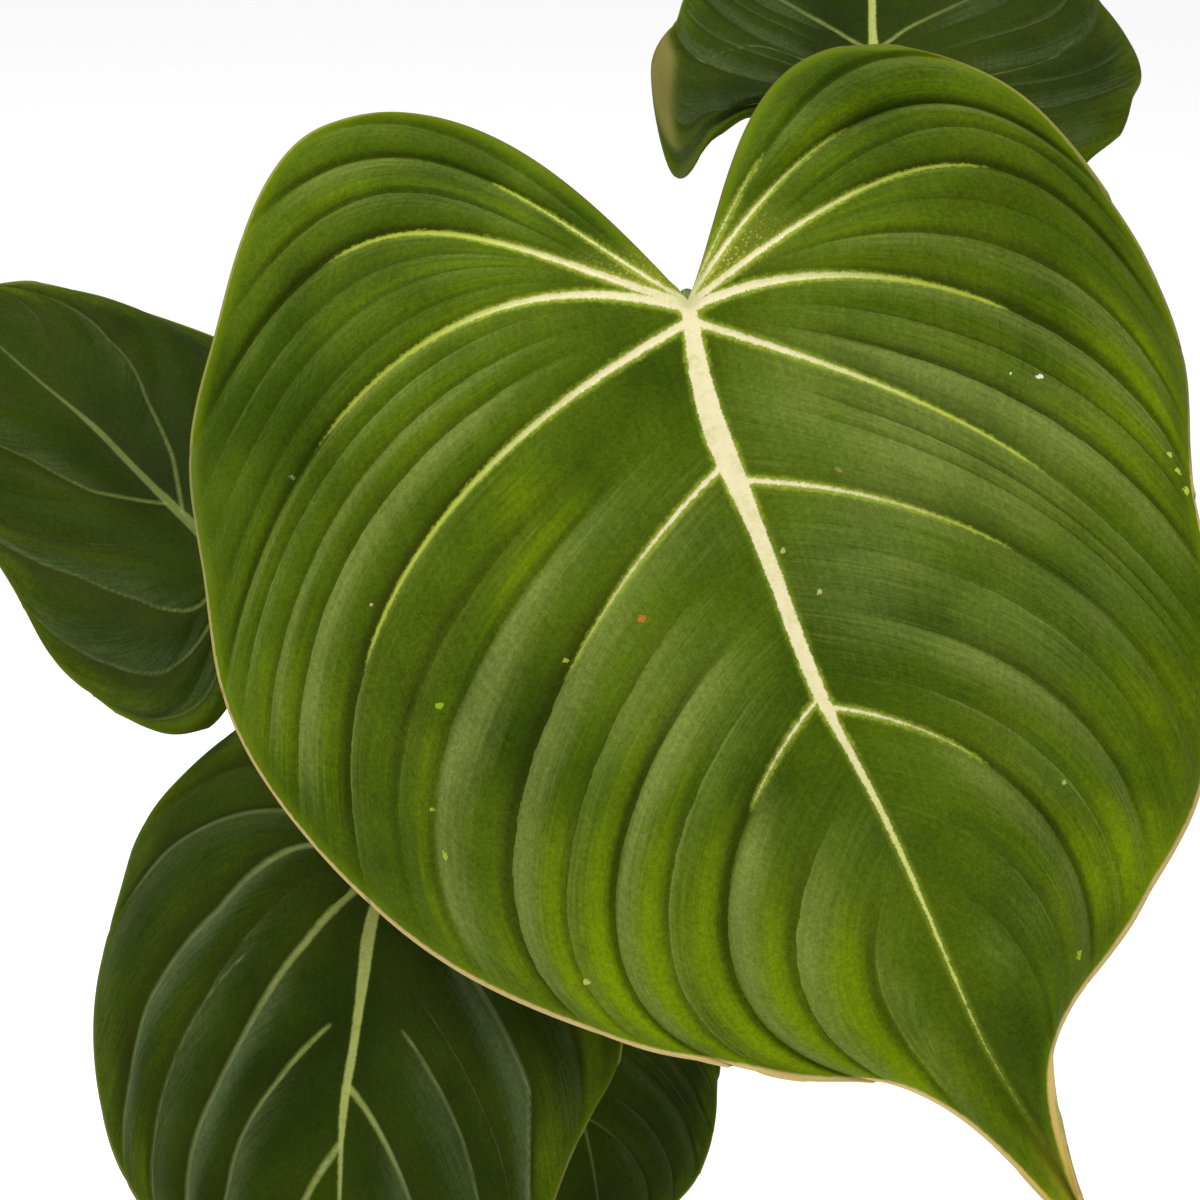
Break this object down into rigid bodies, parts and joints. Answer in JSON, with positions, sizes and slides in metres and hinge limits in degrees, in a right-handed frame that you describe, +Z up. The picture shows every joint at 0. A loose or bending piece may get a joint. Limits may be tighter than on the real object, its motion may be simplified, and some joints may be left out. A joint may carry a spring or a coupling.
{
  "type": "potted philodendron",
  "caption": "Potted creeping foliage plant with heart-shaped pleated leaf blades on long stalks, for decorating a room.",
  "frame": {"origin": "centre of the pot's underside, on the surface it stands on", "axes": "+Z up; -Y is the side the large blade's upper face looks to; the creeping stem lies along X"},
  "size_m": [0.3793, 0.3132, 0.604],
  "materials": {
    "clay": "unglazed fired clay",
    "soil": "loose moist potting soil",
    "stem": "rough green-brown living stem",
    "stalk": "smooth living leaf stalk",
    "blade": "velvety living leaf with pale veins"
  },
  "bodies": {
    "root": {"pot": "clay", "soil": "soil", "creeping_stem": "stem", "stalk_large": "stalk", "stalk_left": "stalk", "stalk_low": "stalk", "stalk_small": "stalk", "stalk_back": "stalk", "blade_large": "blade", "blade_left": "blade", "blade_low": "blade", "blade_small": "blade", "blade_back": "blade"}
  },
  "joints": []
}
